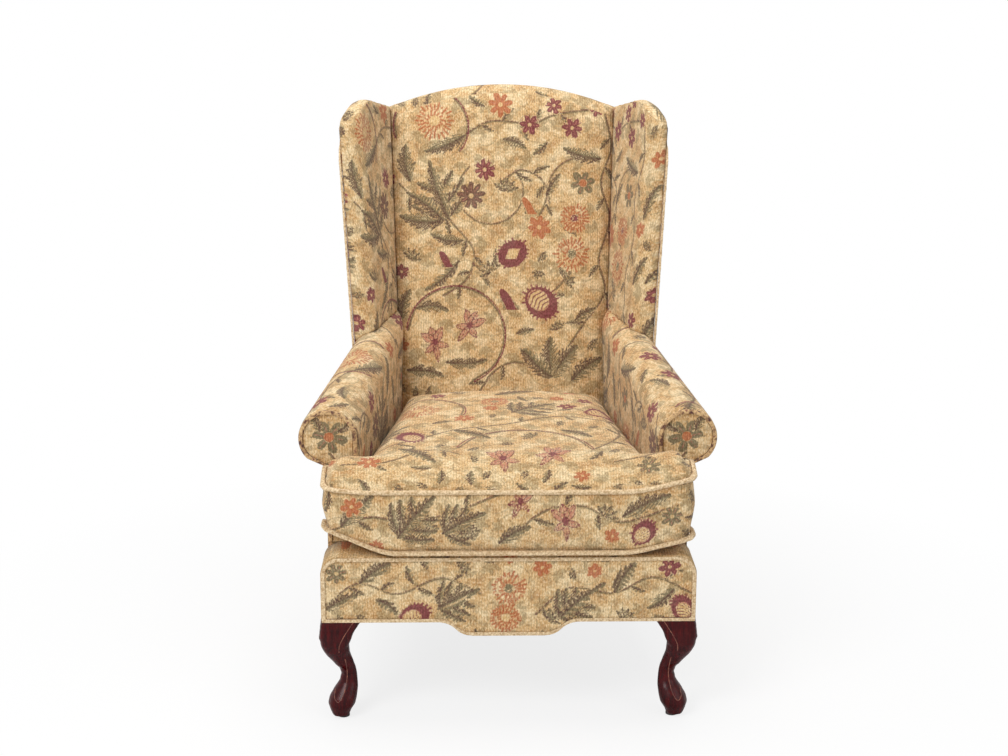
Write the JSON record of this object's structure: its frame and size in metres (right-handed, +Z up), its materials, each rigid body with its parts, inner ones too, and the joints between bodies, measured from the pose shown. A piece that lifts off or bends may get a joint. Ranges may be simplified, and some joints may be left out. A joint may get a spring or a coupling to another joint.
{
  "type": "wingback armchair",
  "caption": "Upholstered wing chair with rolled arms, raked back, loose T cushion and cabriole front legs, in a floral tapestry.",
  "frame": {"origin": "on the floor under the middle of the chair", "axes": "+Z up, front of the chair towards -Y, +X to the right in the front view"},
  "size_m": [0.762, 0.8179, 1.0991],
  "materials": {
    "floral_tapestry": "woven chenille tapestry, golden straw ground with a floral of vines, leaves and blooms",
    "self_welt": "self-fabric piping over cord",
    "dark_welt": "self-fabric piping cut from the dark part of the floral",
    "leg_mahogany": "dark red mahogany, polished to a gloss",
    "frame_beech": "planed beech, unfinished",
    "steel": "zinc plated",
    "glide_nylon": "dark moulded nylon",
    "padding": "polyester wadding over foam",
    "lining_cloth": "black spunbond and webbing",
    "zip_tape": "woven zip tape with its chain",
    "zip_brass": "antique brass slider"
  },
  "bodies": {
    "frame": {"arm_front_panel_left": "floral_tapestry", "arm_front_panel_right": "floral_tapestry", "arm_front_welt_left": "dark_welt", "arm_front_welt_right": "dark_welt", "arm_pad_left": "padding", "arm_pad_right": "padding", "arm_post_left": "frame_beech", "arm_post_right": "frame_beech", "arm_rail_left": "frame_beech", "arm_rail_right": "frame_beech", "arm_tack_rail_left": "frame_beech", "arm_tack_rail_right": "frame_beech", "back_pad": "padding", "back_post_left": "frame_beech", "back_post_right": "frame_beech", "back_rail": "frame_beech", "back_webbing": "lining_cloth", "base_cloth": "lining_cloth", "corner_blocks": "frame_beech", "crest_rail": "frame_beech", "deck_cover": "lining_cloth", "deck_pad": "padding", "foot_glides": "glide_nylon", "front_border_cover": "floral_tapestry", "front_border_welt": "self_welt", "front_edge_pad": "padding", "front_leg_left": "leg_mahogany", "front_leg_right": "leg_mahogany", "front_rail": "frame_beech", "inside_arm_cover_left": "floral_tapestry", "inside_arm_cover_right": "floral_tapestry", "inside_back_cover": "floral_tapestry", "inside_wing_cover_left": "floral_tapestry", "inside_wing_cover_right": "floral_tapestry", "leg_bolts": "steel", "lower_back_rail": "frame_beech", "outside_arm_cover_left": "floral_tapestry", "outside_arm_cover_right": "floral_tapestry", "outside_back_cover": "floral_tapestry", "outside_wing_cover_left": "floral_tapestry", "outside_wing_cover_right": "floral_tapestry", "rear_leg_left": "leg_mahogany", "rear_leg_right": "leg_mahogany", "seat_springs": "steel", "side_rail_left": "frame_beech", "side_rail_right": "frame_beech", "spring_clips": "steel", "wing_pad_left": "padding", "wing_pad_right": "padding", "wing_post_left": "frame_beech", "wing_post_right": "frame_beech", "wing_top_rail_left": "frame_beech", "wing_top_rail_right": "frame_beech", "wing_welt_left": "self_welt", "wing_welt_right": "self_welt"},
    "cushion": {"cushion_cover": "floral_tapestry", "cushion_core": "padding", "cushion_welts": "self_welt", "cushion_zip": "zip_tape"},
    "zip_slider": {"zip_slider": "zip_brass"}
  },
  "joints": [
    {"name": "cushion_lift", "type": "slide", "parent": "frame", "child": "cushion", "axis": [0, 0, 1], "range_m": [0, 0.8]},
    {"name": "zip_run", "type": "slide", "parent": "cushion", "child": "zip_slider", "axis": [1, 0, 0], "range_m": [0, 0.335]}
  ]
}
